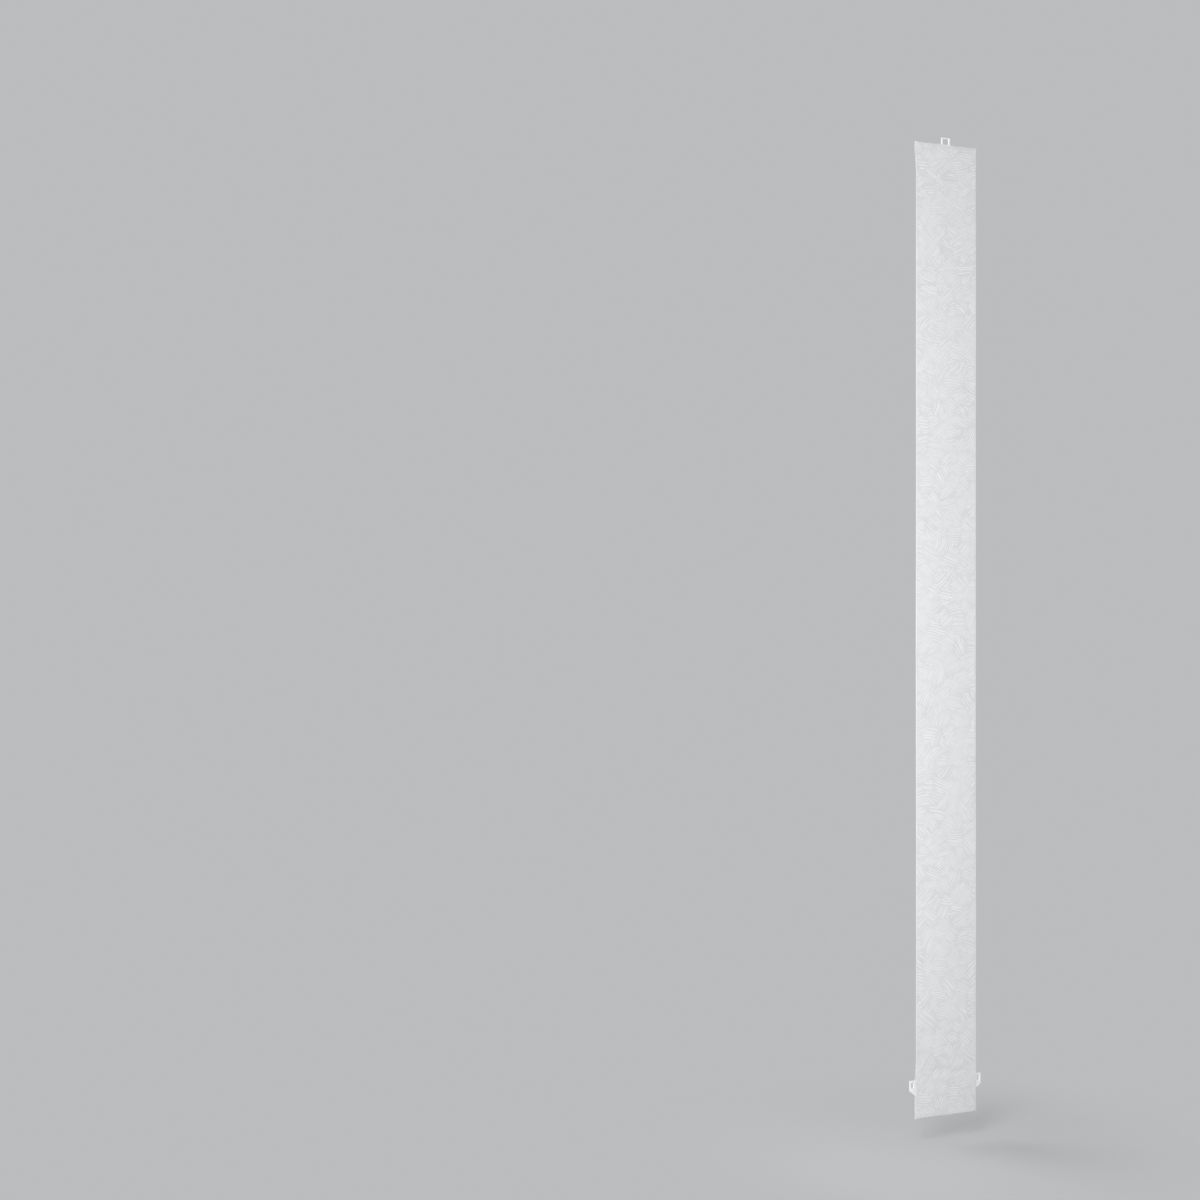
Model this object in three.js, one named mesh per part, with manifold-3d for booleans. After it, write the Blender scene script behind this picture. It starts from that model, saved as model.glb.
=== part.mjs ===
// One louvre (vane) of a vertical blind, in millimetres.
// A single strip of stiffened cloth is folded to the back at both ends and welded across, which
// makes two pockets that are open at their sides. Its show face stays flat from end to end, with
// raised floats of yarn woven into it. A moulded hanger sits in the top pocket, and its neck
// comes out through a notch punched in the fold, with a slot for the carrier's hook. A moulded
// weight sits in the bottom pocket, and its two ears stick out past the cloth's sides, each with
// a slot for the linking chain.
//
// +Z is up, X runs across the louvre's width, and the show face looks along -Y. The origin is on
// the flat underside of the hanger's top bar, in the middle, where the carrier's hook bears.

import * as THREE from "three";
import { mergeVertices } from "three/addons/utils/BufferGeometryUtils.js";
import Module from "manifold-3d";

const wasm = await Module();
wasm.setup();

// Cloth
const LOUVRE_WIDTH = 89;
const DROP = 1200; // outside of the top fold to outside of the bottom fold
const CLOTH = 0.5;
const TOP_POCKET = 27; // outside of the fold to the weld
const BOTTOM_POCKET = 62;
const WELD_WIDTH = 3;
const WELD_SHARE = 0.8; // a weld's thickness, as a share of the two layers that it joins
const HEM_TAIL = 2.2; // loose edge of the hem past the weld
const TAIL_GAP = 0.2;
const BEND_REACH = 3; // how far from a corner the cloth starts to bend
const SEAT_GAP = 0.3; // between the cloth and what its pockets hold

// Floats of yarn on the show face, in blocks that are hatched in different directions
const FLOAT_BLOCK_WIDTH = 17.8;
const FLOAT_BLOCK_HEIGHT = 22;
const FLOAT_PITCH = 5.4;
const FLOAT_WIDTH = 2; // at its root
const FLOAT_RISE = 0.14;
const FLOAT_ROOT = 0.06; // how deep a float is bedded in the cloth
const FLOAT_MARGIN = 1; // between a float's tip and the border of its block
const FLOATS_PER_BLOCK = 3;
const FLOAT_ANGLES = [47, -31, 6, -31, 47, -31, 6]; // degrees from level, block after block

// Hanger
const HANGER_THICKNESS = 1.8;
const HANGER_EDGE = 0.35;
const HANGER_END_CLEARANCE = 2.5; // from the bar's end to the cloth's side edge
const BAR_HEIGHT = 12;
const BAR_END_RADIUS = 4;
const NECK_RISE = 8.1; // top of the neck above the top fold
const NECK_TOP_BAR = 1.4;
const NECK_SIDE_BAR = 1.8;
const NECK_CORNER = 1.2;
const HOOK_SLOT_WIDTH = 8.8;
const HOOK_SLOT_HEIGHT = 7.2;
const HOOK_SLOT_CORNER = 0.8;
const BAR_RIM = 2;
const BAR_RECESS = 0.4;
const BAR_SOLID_MIDDLE = 18; // length of bar under the neck that keeps its full thickness
const NOTCH_DEPTH = 2.5; // below the outside of the top fold
const NOTCH_CLEARANCE = 0.7;
const NOTCH_CORNER = 0.8;

// Weight
const WEIGHT_THICKNESS = 1.8;
const WEIGHT_EDGE = 0.35;
const WEIGHT_WIDTH = 85;
const WEIGHT_HEIGHT = 49;
const WEIGHT_BOTTOM_CORNER = 7;
const WEIGHT_TOP_CORNER = 3;
const WEIGHT_RIM = 6;
const WEIGHT_RECESS = 0.25;
const WEIGHT_SHIFT = -0.4; // the weight lies this far off the middle of its pocket
const EAR_REACH = 8.1; // past the cloth's side edge, with the weight in the middle
const EAR_TOP = 47.5; // heights above the bottom fold
const EAR_SIDE_FOOT = 34.7;
const EAR_SLOPE = 0.75; // rise over run of the ear's slanted underside
const EAR_CORNER = 1;
const CHAIN_SLOT_WIDTH = 3.1;
const CHAIN_SLOT_HEIGHT = 6.5;
const CHAIN_SLOT_CORNER = 0.8;
const EAR_SIDE_BAR = 2.1; // wall between the chain slot and the ear's outer edge
const EAR_TOP_BAR = 2.3;

const CURVE_STEPS = 6;
const EDGE_STEPS = 2;
const CUT_REACH = 10; // how far a cutter passes beyond what it cuts
const POINT_SPACING = 0.001; // points of an outline that are nearer than this are one point

// Heights that the pieces share
const TOP_FOLD = NECK_TOP_BAR - NECK_RISE;
const BOTTOM_FOLD = TOP_FOLD - DROP;
const BAR_TOP = TOP_FOLD - CLOTH - SEAT_GAP;
const NECK_WIDTH = HOOK_SLOT_WIDTH + 2 * NECK_SIDE_BAR;
const WEB_BACK = -HANGER_THICKNESS / 2 - SEAT_GAP;
const WEB_FRONT = WEB_BACK - CLOTH;
const WELD_BACK = WEB_FRONT + 2 * CLOTH * WELD_SHARE;

// Each pocket: where its fold is, which way its hem runs, and the room for what it holds. Its
// front wall lies in the web's plane, so that only the back wall stands out.
const topPocket = {
  fold: TOP_FOLD,
  inward: -1,
  depth: TOP_POCKET,
  shoulder: CLOTH + SEAT_GAP + BAR_HEIGHT,
  bore: HANGER_THICKNESS / 2 + SEAT_GAP,
};
const bottomPocket = {
  fold: BOTTOM_FOLD,
  inward: 1,
  depth: BOTTOM_POCKET,
  shoulder: CLOTH + SEAT_GAP + WEIGHT_HEIGHT,
  bore: WEIGHT_THICKNESS / 2 + SEAT_GAP,
};

function solidFrom(geometry) {
  const bare = geometry.clone();
  bare.deleteAttribute("normal");
  bare.deleteAttribute("uv");
  const merged = mergeVertices(bare, 1e-4);
  const mesh = new wasm.Mesh({
    numProp: 3,
    vertProperties: new Float32Array(merged.attributes.position.array),
    triVerts: new Uint32Array(merged.index.array),
  });
  return new wasm.Manifold(mesh);
}

function geometryFrom(solid) {
  const mesh = solid.getMesh();
  const geometry = new THREE.BufferGeometry();
  geometry.setAttribute("position", new THREE.BufferAttribute(mesh.vertProperties, 3));
  geometry.setIndex(new THREE.BufferAttribute(mesh.triVerts, 1));
  geometry.computeVertexNormals();
  return geometry;
}

// A flat moulding: an outline in X and Z, centred on Y = 0, with its edges rounded off.
function moulded(shape, thickness, edge) {
  const depth = thickness - 2 * edge;
  const geometry = new THREE.ExtrudeGeometry(shape, {
    depth,
    curveSegments: CURVE_STEPS,
    bevelEnabled: edge > 0,
    bevelThickness: edge,
    bevelSize: edge,
    bevelOffset: -edge,
    bevelSegments: EDGE_STEPS,
  });
  geometry.translate(0, 0, -depth / 2);
  geometry.rotateX(Math.PI / 2);
  return solidFrom(geometry);
}

// A square-edged prism in Y from an outline in X and Z, for cutting.
function cutter(shape, yFrom, yTo) {
  const geometry = new THREE.ExtrudeGeometry(shape, {
    depth: yTo - yFrom,
    curveSegments: CURVE_STEPS,
    bevelEnabled: false,
  });
  geometry.rotateX(Math.PI / 2);
  geometry.translate(0, yTo, 0);
  return solidFrom(geometry);
}

// Draws a closed outline through the corners, each [x, z, radius], with round corners.
function roundedOutline(target, corners) {
  const count = corners.length;
  corners.forEach(([x, z, radius], i) => {
    const [beforeX, beforeZ] = corners[(i + count - 1) % count];
    const [afterX, afterZ] = corners[(i + 1) % count];
    const corner = new THREE.Vector2(x, z);
    const toBefore = new THREE.Vector2(beforeX, beforeZ).sub(corner).normalize();
    const toAfter = new THREE.Vector2(afterX, afterZ).sub(corner).normalize();
    const halfAngle = Math.acos(toBefore.dot(toAfter)) / 2;
    const reach = radius / Math.tan(halfAngle);
    const start = corner.clone().addScaledVector(toBefore, reach);
    const end = corner.clone().addScaledVector(toAfter, reach);
    if (i === 0) target.moveTo(start.x, start.y);
    else target.lineTo(start.x, start.y);
    if (radius > 0) target.quadraticCurveTo(x, z, end.x, end.y);
  });
  target.closePath();
  return target;
}

function roundedBox(target, xFrom, xTo, zFrom, zTo, bottomRadius, topRadius) {
  return roundedOutline(target, [
    [xFrom, zFrom, bottomRadius],
    [xTo, zFrom, bottomRadius],
    [xTo, zTo, topRadius],
    [xFrom, zTo, topRadius],
  ]);
}

// Runs a path up to a corner and bends it there, towards the next corner.
function bendAt(path, before, corner, after) {
  const start = corner.clone().add(before.clone().sub(corner).setLength(BEND_REACH));
  const end = corner.clone().add(after.clone().sub(corner).setLength(BEND_REACH));
  path.lineTo(start.x, start.y);
  path.quadraticCurveTo(corner.x, corner.y, end.x, end.y);
}

// A path drawn in Y and in distance from the fold, as points in Y and Z, each given once.
function placed(path, pocket) {
  const points = path.getPoints(CURVE_STEPS);
  return points
    .filter((p, i) => i === 0 || p.distanceTo(points[i - 1]) > POINT_SPACING)
    .map((p) => new THREE.Vector2(p.x, pocket.fold + pocket.inward * p.y));
}

// The cloth's outer surface at one end: from the show face round the fold, down the back, across
// the weld, round the loose edge of the hem and on to the back of the web.
function outerSurface(pocket) {
  const middle = WEB_BACK + pocket.bore;
  const radius = pocket.bore + CLOTH;
  const weldFoot = pocket.depth + WELD_WIDTH;
  const tailEnd = weldFoot + HEM_TAIL;
  const tailInside = WEB_BACK + TAIL_GAP;
  const back = middle + radius;
  const shoulder = new THREE.Vector2(back, pocket.shoulder);
  const backWeld = new THREE.Vector2(WELD_BACK, pocket.depth);
  const path = new THREE.Path();
  path.moveTo(WEB_FRONT, radius);
  path.absarc(middle, radius, radius, Math.PI, 2 * Math.PI, false);
  bendAt(path, new THREE.Vector2(back, radius), shoulder, backWeld);
  path.lineTo(backWeld.x, backWeld.y);
  path.lineTo(WELD_BACK, weldFoot);
  path.lineTo(tailInside + CLOTH, weldFoot + CLOTH);
  path.lineTo(tailInside + CLOTH, tailEnd);
  path.lineTo(tailInside, tailEnd);
  path.lineTo(tailInside, weldFoot + CLOTH);
  path.lineTo(WEB_BACK, weldFoot + TAIL_GAP);
  return placed(path, pocket);
}

// The pocket's tunnel, which is a hole in the cloth's section, as points.
function tunnel(pocket) {
  const apex = new THREE.Vector2(WEB_BACK, pocket.depth);
  const middle = WEB_BACK + pocket.bore;
  const back = middle + pocket.bore;
  const foldCentre = pocket.bore + CLOTH;
  const path = new THREE.Path();
  path.moveTo(apex.x, apex.y);
  path.lineTo(WEB_BACK, foldCentre);
  path.absarc(middle, foldCentre, pocket.bore, Math.PI, 2 * Math.PI, false);
  bendAt(path, new THREE.Vector2(back, foldCentre), new THREE.Vector2(back, pocket.shoulder), apex);
  return placed(path, pocket);
}

// One float: a low ridge from tip to tip across a block, or nothing where its line misses the
// block. The line runs at an angle from level, at an offset from the block's middle.
function yarnFloat(x, z, width, height, angle, offset) {
  const along = new THREE.Vector2(Math.cos(angle), Math.sin(angle));
  const across = new THREE.Vector2(-along.y, along.x);
  const middle = across.clone().multiplyScalar(offset);
  const room = new THREE.Vector2(width / 2 - FLOAT_MARGIN, height / 2 - FLOAT_MARGIN);
  const spans = ["x", "y"].map((axis) => {
    const ends = [-1, 1].map((side) => (side * room[axis] - middle[axis]) / along[axis]);
    return ends.sort((a, b) => a - b);
  });
  const from = Math.max(spans[0][0], spans[1][0]);
  const to = Math.min(spans[0][1], spans[1][1]);
  if (to - from < 2 * FLOAT_WIDTH) return null;
  const root = WEB_FRONT + FLOAT_ROOT;
  const crest = WEB_FRONT - FLOAT_RISE;
  const pointAt = (distance, side, y) => [
    x + middle.x + along.x * distance + (across.x * side * FLOAT_WIDTH) / 2,
    y,
    z + middle.y + along.y * distance + (across.y * side * FLOAT_WIDTH) / 2,
  ];
  return wasm.Manifold.hull([
    pointAt(from, -1, root),
    pointAt(from, 1, root),
    pointAt(to, -1, root),
    pointAt(to, 1, root),
    pointAt(from + FLOAT_WIDTH / 2, 0, crest),
    pointAt(to - FLOAT_WIDTH / 2, 0, crest),
  ]);
}

// The floats cover the flat show face between the folds, in columns and rows of blocks.
function wovenFloats() {
  const faceTop = TOP_FOLD - NOTCH_DEPTH - FLOAT_WIDTH;
  const faceFoot = BOTTOM_FOLD + NOTCH_DEPTH + FLOAT_WIDTH;
  const columns = Math.round(LOUVRE_WIDTH / FLOAT_BLOCK_WIDTH);
  const rows = Math.round((faceTop - faceFoot) / FLOAT_BLOCK_HEIGHT);
  const width = LOUVRE_WIDTH / columns;
  const height = (faceTop - faceFoot) / rows;
  const floats = [];
  for (let row = 0; row < rows; row += 1) {
    for (let column = 0; column < columns; column += 1) {
      const turn = FLOAT_ANGLES[(column * 2 + row * 3) % FLOAT_ANGLES.length];
      const x = -LOUVRE_WIDTH / 2 + (column + 0.5) * width;
      const z = faceFoot + (row + 0.5) * height;
      for (let i = 0; i < FLOATS_PER_BLOCK; i += 1) {
        const offset = (i - (FLOATS_PER_BLOCK - 1) / 2) * FLOAT_PITCH;
        const angle = THREE.MathUtils.degToRad(turn);
        floats.push(yarnFloat(x, z, width, height, angle, offset));
      }
    }
  }
  return floats.filter((float) => float !== null);
}

function fabricSlat() {
  const section = new THREE.Shape([
    ...outerSurface(topPocket),
    ...outerSurface(bottomPocket).reverse(),
  ]);
  section.holes.push(new THREE.Path(tunnel(topPocket).reverse()));
  section.holes.push(new THREE.Path(tunnel(bottomPocket)));
  const strip = new THREE.ExtrudeGeometry(section, { depth: LOUVRE_WIDTH, bevelEnabled: false });
  strip.translate(0, 0, -LOUVRE_WIDTH / 2);
  const alongY = new THREE.Vector3(0, 1, 0);
  const alongZ = new THREE.Vector3(0, 0, 1);
  const alongX = new THREE.Vector3(1, 0, 0);
  strip.applyMatrix4(new THREE.Matrix4().makeBasis(alongY, alongZ, alongX));
  const half = NECK_WIDTH / 2 + NOTCH_CLEARANCE;
  const notch = roundedBox(
    new THREE.Shape(),
    -half,
    half,
    TOP_FOLD - NOTCH_DEPTH,
    TOP_FOLD + CUT_REACH,
    NOTCH_CORNER,
    NOTCH_CORNER,
  );
  const cloth = solidFrom(strip).subtract(cutter(notch, -CUT_REACH, CUT_REACH));
  return wasm.Manifold.union([cloth, ...wovenFloats()]);
}

function topHanger() {
  const barHalf = LOUVRE_WIDTH / 2 - HANGER_END_CLEARANCE;
  const barFoot = BAR_TOP - BAR_HEIGHT;
  const neckHalf = NECK_WIDTH / 2;
  const outline = roundedOutline(new THREE.Shape(), [
    [-barHalf, barFoot, BAR_END_RADIUS],
    [barHalf, barFoot, BAR_END_RADIUS],
    [barHalf, BAR_TOP, BAR_END_RADIUS],
    [neckHalf, BAR_TOP, NOTCH_CLEARANCE],
    [neckHalf, NECK_TOP_BAR, NECK_CORNER],
    [-neckHalf, NECK_TOP_BAR, NECK_CORNER],
    [-neckHalf, BAR_TOP, NOTCH_CLEARANCE],
    [-barHalf, BAR_TOP, BAR_END_RADIUS],
  ]);
  const slotHalf = HOOK_SLOT_WIDTH / 2;
  const slot = new THREE.Path();
  roundedBox(slot, -slotHalf, slotHalf, -HOOK_SLOT_HEIGHT, 0, HOOK_SLOT_CORNER, HOOK_SLOT_CORNER);
  outline.holes.push(slot);
  let hanger = moulded(outline, HANGER_THICKNESS, HANGER_EDGE);
  for (const side of [-1, 1]) {
    const ends = [(side * BAR_SOLID_MIDDLE) / 2, side * (barHalf - BAR_RIM)].sort((a, b) => a - b);
    const panel = roundedBox(
      new THREE.Shape(),
      ends[0],
      ends[1],
      barFoot + BAR_RIM,
      BAR_TOP - BAR_RIM,
      BAR_RIM,
      BAR_RIM,
    );
    const face = HANGER_THICKNESS / 2;
    hanger = hanger
      .subtract(cutter(panel, -face - CUT_REACH, BAR_RECESS - face))
      .subtract(cutter(panel, face - BAR_RECESS, face + CUT_REACH));
  }
  return hanger;
}

// One ear of the weight, to the right for side 1 and to the left for side -1.
function weightEar(side) {
  const outer = LOUVRE_WIDTH / 2 + EAR_REACH;
  const root = WEIGHT_WIDTH / 2 - WEIGHT_RIM / 2;
  const top = BOTTOM_FOLD + EAR_TOP;
  const sideFoot = BOTTOM_FOLD + EAR_SIDE_FOOT;
  const outline = roundedOutline(new THREE.Shape(), [
    [side * root, top, 0],
    [side * outer, top, EAR_CORNER],
    [side * outer, sideFoot, EAR_CORNER],
    [side * root, sideFoot - EAR_SLOPE * (outer - root), 0],
  ]);
  const slotOuter = outer - EAR_SIDE_BAR;
  const slotTop = top - EAR_TOP_BAR;
  const ends = [side * slotOuter, side * (slotOuter - CHAIN_SLOT_WIDTH)].sort((a, b) => a - b);
  const slot = new THREE.Path();
  roundedBox(
    slot,
    ends[0],
    ends[1],
    slotTop - CHAIN_SLOT_HEIGHT,
    slotTop,
    CHAIN_SLOT_CORNER,
    CHAIN_SLOT_CORNER,
  );
  outline.holes.push(slot);
  return moulded(outline, WEIGHT_THICKNESS, WEIGHT_EDGE);
}

function bottomWeight() {
  const half = WEIGHT_WIDTH / 2;
  const foot = BOTTOM_FOLD + CLOTH + SEAT_GAP;
  const top = foot + WEIGHT_HEIGHT;
  const face = WEIGHT_THICKNESS / 2;
  const body = roundedBox(
    new THREE.Shape(),
    -half,
    half,
    foot,
    top,
    WEIGHT_BOTTOM_CORNER,
    WEIGHT_TOP_CORNER,
  );
  const panel = roundedBox(
    new THREE.Shape(),
    -half + WEIGHT_RIM,
    half - WEIGHT_RIM,
    foot + WEIGHT_RIM,
    top - WEIGHT_RIM,
    WEIGHT_TOP_CORNER,
    WEIGHT_TOP_CORNER,
  );
  return moulded(body, WEIGHT_THICKNESS, WEIGHT_EDGE)
    .add(weightEar(-1))
    .add(weightEar(1))
    .subtract(cutter(panel, -face - CUT_REACH, WEIGHT_RECESS - face))
    .subtract(cutter(panel, face - WEIGHT_RECESS, face + CUT_REACH))
    .translate([WEIGHT_SHIFT, WEB_BACK + bottomPocket.bore, 0]);
}

function part(name, solid, material) {
  const mesh = new THREE.Mesh(geometryFrom(solid), material);
  mesh.name = name;
  return mesh;
}

const wovenPolyester = new THREE.MeshStandardMaterial({
  color: 0xe2e3e6,
  roughness: 0.85,
  metalness: 0,
});
const whitePlastic = new THREE.MeshStandardMaterial({
  color: 0xf2f2f4,
  roughness: 0.4,
  metalness: 0,
});

const louvre = new THREE.Group();
louvre.name = "vertical_blind_vane";
louvre.add(part("fabric_slat", fabricSlat(), wovenPolyester));
louvre.add(part("top_hanger", topHanger(), whitePlastic));
louvre.add(part("bottom_weight", bottomWeight(), whitePlastic));

export default louvre;
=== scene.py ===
import math

import bpy
import numpy as np
from mathutils import Matrix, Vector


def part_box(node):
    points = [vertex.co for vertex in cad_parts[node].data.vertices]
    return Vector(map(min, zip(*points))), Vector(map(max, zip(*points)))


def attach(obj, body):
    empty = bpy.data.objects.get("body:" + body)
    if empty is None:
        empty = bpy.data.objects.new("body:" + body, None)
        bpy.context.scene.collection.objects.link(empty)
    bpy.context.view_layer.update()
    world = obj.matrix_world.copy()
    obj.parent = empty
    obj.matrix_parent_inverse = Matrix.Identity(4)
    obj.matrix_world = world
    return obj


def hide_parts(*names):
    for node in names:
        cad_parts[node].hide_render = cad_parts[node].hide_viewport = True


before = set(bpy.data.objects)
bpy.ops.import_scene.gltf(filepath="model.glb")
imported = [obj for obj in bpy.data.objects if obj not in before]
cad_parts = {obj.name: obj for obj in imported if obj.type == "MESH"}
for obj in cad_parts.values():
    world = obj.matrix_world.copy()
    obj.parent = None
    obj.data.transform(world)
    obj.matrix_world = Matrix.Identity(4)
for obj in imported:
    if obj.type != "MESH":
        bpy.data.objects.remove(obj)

bl_info = {
    "name": "Vertical blind louvre",
    "version": (1, 0, 0),
    "blender": (4, 5, 0),
    "location": "3D View > Sidebar > Louvre",
    "description": "Makes the cloth, the woven strokes, the finish and the stage of one blind louvre",
    "category": "Object",
}

MM = 0.001
TURN = 2 * math.pi
SEED = 89

# Places nearer to each other than this, in metres, are the same.
NEAR = 1e-7

cloth_low, cloth_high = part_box("fabric_slat")
hanger_low, hanger_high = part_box("top_hanger")
weight_low, weight_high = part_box("bottom_weight")
HALF_WIDTH = (cloth_high.x - cloth_low.x) / 2
TOP_FOLD = cloth_high.z
BOTTOM_FOLD = cloth_low.z
NECK_HALF = 6.2 * MM

# How finely the cloth is drawn.
FOLD_STEPS = 32
CLOTH_COLUMNS = 132
SHARP_ANGLE = math.radians(50)

# The dashes that the welding tool leaves.
WELD_DASH = 4 * MM
WELD_DASH_DEPTH = 0.11 * MM

# The margin that the strokes leave bare at the cut edges, and the length of the shortest stroke.
EDGE_MARGIN = 0.9 * MM
SHORTEST_STROKE = 4 * MM

# The plain weave's tone where the strokes have no strength. It falls to 0 at their full strength.
FAINT_TONE = 0.34

# Size of the areas in which the whole cloth is lighter or darker, and by what share.
DAPPLE_SIZE = 11 * MM
DAPPLE_AMOUNT = 0.022

# Each soft lamp's name, place from the louvre's middle, width and height, power and colour.
LAMPS = (
    ("key", (-0.52, -0.4, 0.02), (0.3, 1.34), 4.6, (0.995, 0.995, 1.0)),
    ("fill", (0.6, -2.4, 0.3), (1.6, 1.6), 2.0, (1.0, 0.995, 0.99)),
    ("back", (-1.2, 1.8, 0.4), (1.6, 1.6), 25, (1.0, 0.995, 0.99)),
)
FLOOR_REACH = 12.0

# The camera's sensor is in millimetres, and its range in metres.
SENSOR_WIDTH = 36
CLIP_RANGE = 0.05, 60


class ClothSettings(bpy.types.PropertyGroup):
    thickness: bpy.props.FloatProperty(
        name="Thickness", description="Thickness of the stiffened cloth",
        default=0.5 * MM, min=0.0001, unit="LENGTH", precision=5,
    )
    seat_gap: bpy.props.FloatProperty(
        name="Seat gap", description="Space between the cloth and what its pockets hold",
        default=0.3 * MM, min=0.0, unit="LENGTH", precision=5,
    )
    top_pocket: bpy.props.FloatProperty(
        name="Top pocket", description="From the outside of the top fold to its weld",
        default=27 * MM, unit="LENGTH", precision=4,
    )
    bottom_pocket: bpy.props.FloatProperty(
        name="Bottom pocket", description="From the outside of the bottom fold to its weld",
        default=62 * MM, unit="LENGTH", precision=4,
    )
    weld_width: bpy.props.FloatProperty(
        name="Weld width", description="Height of the welded band that closes a pocket",
        default=3 * MM, unit="LENGTH", precision=4,
    )
    hem_tail: bpy.props.FloatProperty(
        name="Hem tail", description="Loose edge of the hem past its weld",
        default=2.2 * MM, unit="LENGTH", precision=4,
    )
    notch_depth: bpy.props.FloatProperty(
        name="Notch depth", description="Depth of the punched notch below the top fold",
        default=2.5 * MM, unit="LENGTH", precision=4,
    )
    notch_clearance: bpy.props.FloatProperty(
        name="Notch clearance", description="Space between the notch and the hanger's neck",
        default=0.7 * MM, unit="LENGTH", precision=4,
    )
    bow: bpy.props.FloatProperty(
        name="Bow", description="How far the hanging strip strays from flat",
        default=0.35 * MM, unit="LENGTH", precision=5,
    )
    ground: bpy.props.FloatVectorProperty(
        name="Ground", description="Colour of the plain weave",
        subtype="COLOR", default=(0.70, 0.703, 0.713), min=0.0, max=1.0,
    )
    stroke: bpy.props.FloatVectorProperty(
        name="Strokes", description="Colour of the woven satin strokes",
        subtype="COLOR", default=(0.87, 0.872, 0.88), min=0.0, max=1.0,
    )
    thread: bpy.props.FloatProperty(
        name="Thread", description="Spacing of the threads in the plain weave",
        default=0.42 * MM, min=0.0001, unit="LENGTH", precision=5,
    )
    patch: bpy.props.FloatProperty(
        name="Patch", description="Size of a patch of strokes that run the same way",
        default=18 * MM, min=0.004, unit="LENGTH", precision=4,
    )
    border_wave: bpy.props.FloatProperty(
        name="Border wave", description="How far neighbouring patches reach into each other",
        default=2.0 * MM, min=0.0, unit="LENGTH", precision=4,
    )
    merged: bpy.props.FloatProperty(
        name="Merged patches", description="Share of the patches that their neighbours take over",
        default=0.24, min=0.0, max=0.9, subtype="FACTOR",
    )
    dropped: bpy.props.FloatProperty(
        name="Dropped strokes", description="Share of the strokes that are left out",
        default=0.03, min=0.0, max=1.0, subtype="FACTOR",
    )
    stroke_pitch: bpy.props.FloatProperty(
        name="Stroke pitch", description="Distance between neighbouring strokes of a patch",
        default=2.9 * MM, min=0.001, unit="LENGTH", precision=4,
    )
    stroke_width: bpy.props.FloatProperty(
        name="Stroke width", description="Width of a stroke at its middle",
        default=1.8 * MM, min=0.0002, unit="LENGTH", precision=5,
    )
    sway: bpy.props.FloatProperty(
        name="Sway", description="How far a stroke wavers to either side of its smooth arc",
        default=0.4 * MM, min=0.0, unit="LENGTH", precision=5,
    )
    stroke_rise: bpy.props.FloatProperty(
        name="Stroke rise", description="How far a stroke stands proud of the plain weave",
        default=0.07 * MM, min=0.0, unit="LENGTH", precision=5,
    )


class MouldingSettings(bpy.types.PropertyGroup):
    colour: bpy.props.FloatVectorProperty(
        name="Colour", description="Colour of the white moulded plastic",
        subtype="COLOR", default=(0.90, 0.90, 0.91), min=0.0, max=1.0,
    )
    roughness: bpy.props.FloatProperty(
        name="Roughness", description="Mean roughness of the moulded plastic",
        default=0.38, min=0.0, max=1.0, subtype="FACTOR",
    )


class StageSettings(bpy.types.PropertyGroup):
    floor_gap: bpy.props.FloatProperty(
        name="Floor gap", description="Height of the louvre above the floor",
        default=30 * MM, min=0.0, unit="LENGTH", precision=4,
    )
    backdrop: bpy.props.FloatVectorProperty(
        name="Backdrop", description="Colour that the camera sees behind the louvre",
        subtype="COLOR", default=(0.50, 0.505, 0.515), min=0.0, max=1.0,
    )
    sky: bpy.props.FloatProperty(
        name="Sky", description="Strength of the even white light from all round",
        default=0.62, min=0.0,
    )
    lens: bpy.props.FloatProperty(
        name="Lens", description="Focal length of the camera",
        default=60.0, min=1.0, subtype="DISTANCE_CAMERA",
    )
    turn: bpy.props.FloatProperty(
        name="Turn", description="How far the camera looks past the louvre's own square view",
        default=math.radians(25.273), subtype="ANGLE",
    )
    eye_drop: bpy.props.FloatProperty(
        name="Eye drop", description="Height of the camera below the hook seat",
        default=0.5698, unit="LENGTH", precision=4,
    )
    side_step: bpy.props.FloatProperty(
        name="Side step", description="From the camera's axis to the louvre's middle on its right",
        default=0.4271, unit="LENGTH", precision=4,
    )
    distance: bpy.props.FloatProperty(
        name="Distance", description="From the camera to the louvre's middle along the camera's axis",
        default=2.4722, unit="LENGTH", precision=4,
    )


def new_mesh(name, points, quads, material):
    """A smooth-shaded mesh object from an array of points and an array of four-cornered faces."""
    mesh = bpy.data.meshes.new(name)
    mesh.from_pydata(points, [], quads)
    mesh.validate()
    mesh.shade_smooth()
    mesh.set_sharp_from_angle(angle=SHARP_ANGLE)
    mesh.materials.append(material)
    piece = bpy.data.objects.new(name, mesh)
    bpy.context.scene.collection.objects.link(piece)
    return piece


def add_strip_map(piece, across, along, length):
    """Gives a piece a UV map of the flat strip: u is the place across it and v the place along it,
    both divided by the strip's length, so that the pattern isn't stretched."""
    corners = np.empty(len(piece.data.loops), np.int32)
    piece.data.loops.foreach_get("vertex_index", corners)
    flat = np.stack([(across + HALF_WIDTH) / length, along / length], axis=-1)
    layer = piece.data.uv_layers.new(name="strip")
    layer.data.foreach_set("uv", flat[corners].astype(np.float32).ravel())


def add_tone(piece, tone):
    """Gives each point of a piece its tone: 0 in the plain weave's colour and 1 in the strokes'."""
    layer = piece.data.attributes.new("tone", "FLOAT", "POINT")
    layer.data.foreach_set("value", tone.astype(np.float32))


def smooth_step(value, low, high):
    """0 below low, 1 above high, and 3t^2 - 2t^3 of the share t of the way between."""
    share = np.clip((value - low) / (high - low), 0, 1)
    return share * share * (3 - 2 * share)


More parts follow.
